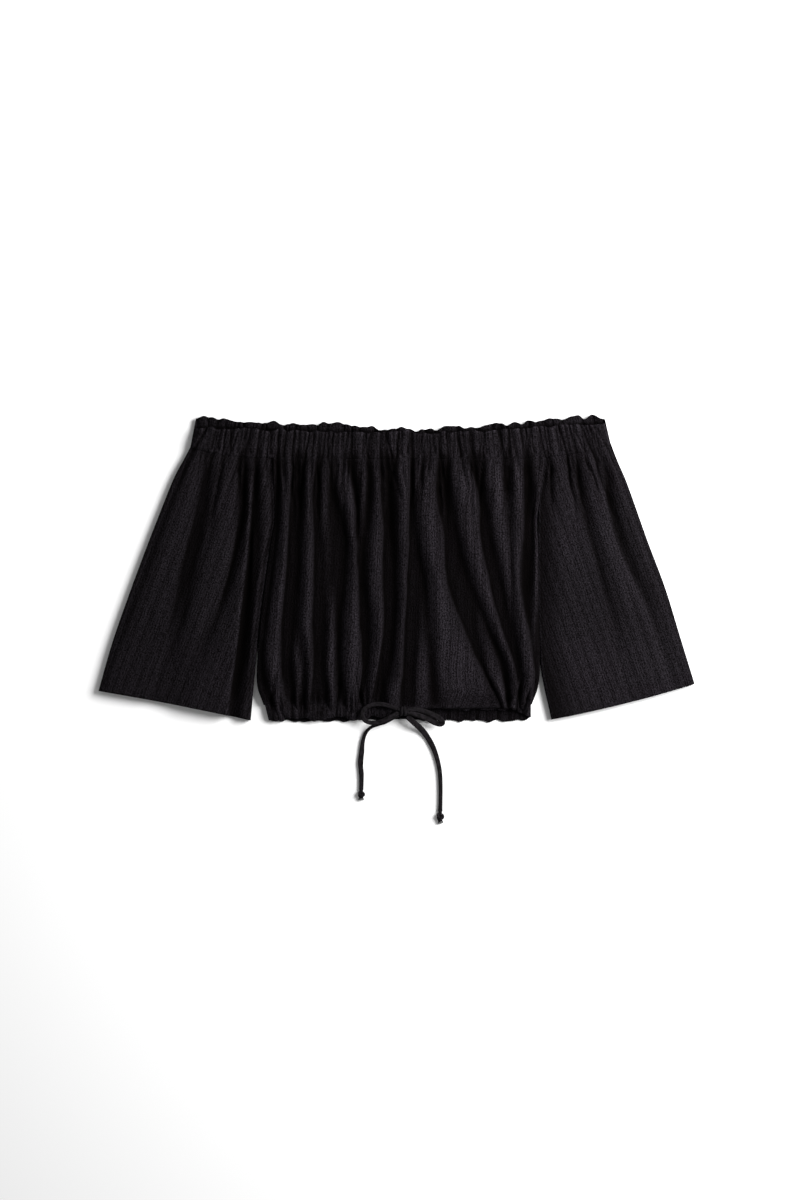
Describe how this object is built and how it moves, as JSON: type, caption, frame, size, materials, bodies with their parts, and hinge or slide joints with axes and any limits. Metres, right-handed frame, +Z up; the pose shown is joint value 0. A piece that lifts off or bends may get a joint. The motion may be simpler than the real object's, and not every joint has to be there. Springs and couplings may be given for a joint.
{
  "type": "off-shoulder top",
  "caption": "Short off-shoulder top with a frilled elastic neckline, flared sleeves and a drawstring hem tied in a bow, laid flat.",
  "frame": {"origin": "centre of the garment's outline, on the surface that it lies on", "axes": "+X to the picture's right across the garment, +Y up the body to the neckline, +Z up out of the surface; the front side faces +Z"},
  "size_m": [0.6566, 0.4462, 0.0203],
  "materials": {
    "cloth": "matt black crinkled crepe",
    "tie": "black self-fabric tie"
  },
  "bodies": {
    "root": {"front_panel": "cloth", "back_panel": "cloth", "sleeve_left": "cloth", "sleeve_right": "cloth", "neck_casing_front": "cloth", "neck_casing_back": "cloth", "hem_casing_front": "cloth", "hem_casing_back": "cloth", "bow_knot": "tie", "bow_loop_left": "tie", "bow_loop_right": "tie", "tie_left": "tie", "tie_right": "tie", "tie_end_left": "tie", "tie_end_right": "tie"}
  },
  "joints": []
}
